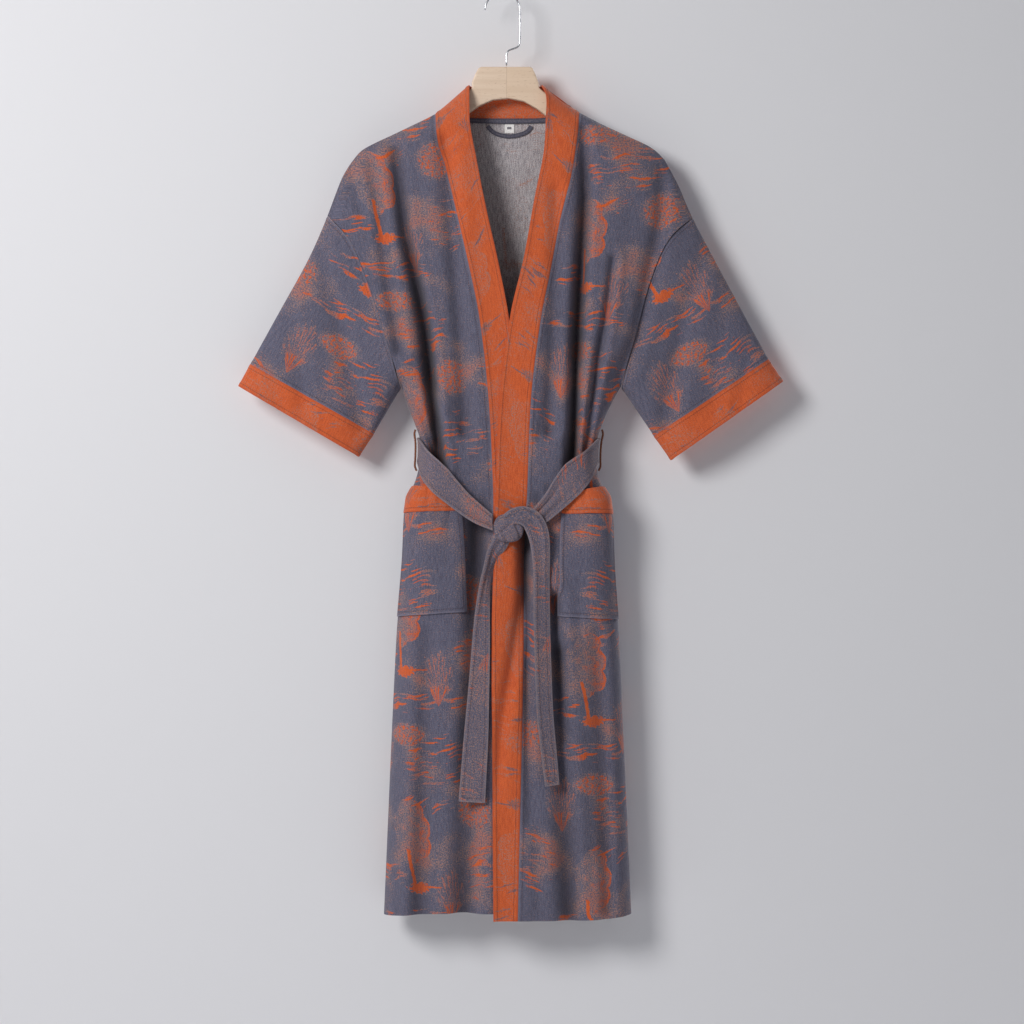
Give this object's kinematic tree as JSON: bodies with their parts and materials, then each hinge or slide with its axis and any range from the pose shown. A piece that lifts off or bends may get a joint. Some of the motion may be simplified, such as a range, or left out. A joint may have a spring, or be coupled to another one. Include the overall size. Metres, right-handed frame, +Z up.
{
  "type": "yukata robe on a wooden hanger",
  "caption": "Knee-length wrap robe with elbow sleeves, contrast collar band, cuffs and patch pockets, tied with a belt, on a flat wooden hanger.",
  "frame": {"origin": "top of the inside of the hook, where the rail bears", "axes": "+Z up, -Y the front of the robe, +X the wearer's left"},
  "size_m": [0.7941, 0.1039, 1.347],
  "materials": {
    "toile_cotton": "two-tone woven cotton, blue-grey ground with a fine orange scenic pattern, matt",
    "contrast_cotton": "the same cotton with its colours reversed, orange ground with grey motifs, matt",
    "plain_tape": "plain blue-grey cotton tape, matt",
    "loop_thread": "brown cotton thread",
    "label_cloth": "white woven label, blank but for a plain mark",
    "beech": "pale beech, satin lacquer",
    "hook_steel": "plated steel wire"
  },
  "bodies": {
    "root": {"back_panel": "toile_cotton", "front_under": "toile_cotton", "front_over": "toile_cotton", "sleeve_right": "toile_cotton", "sleeve_left": "toile_cotton", "pocket_right": "toile_cotton", "pocket_left": "toile_cotton", "belt_waist": "toile_cotton", "belt_knot": "toile_cotton", "belt_end_right": "toile_cotton", "belt_end_left": "toile_cotton", "cuff_right": "contrast_cotton", "cuff_left": "contrast_cotton", "collar_band": "contrast_cotton", "pocket_band_right": "contrast_cotton", "pocket_band_left": "contrast_cotton", "neck_tape": "plain_tape", "neck_loop": "plain_tape", "belt_loop_right": "loop_thread", "belt_loop_left": "loop_thread", "neck_label": "label_cloth", "hanger_board": "beech", "hanger_hook": "hook_steel"}
  },
  "joints": []
}
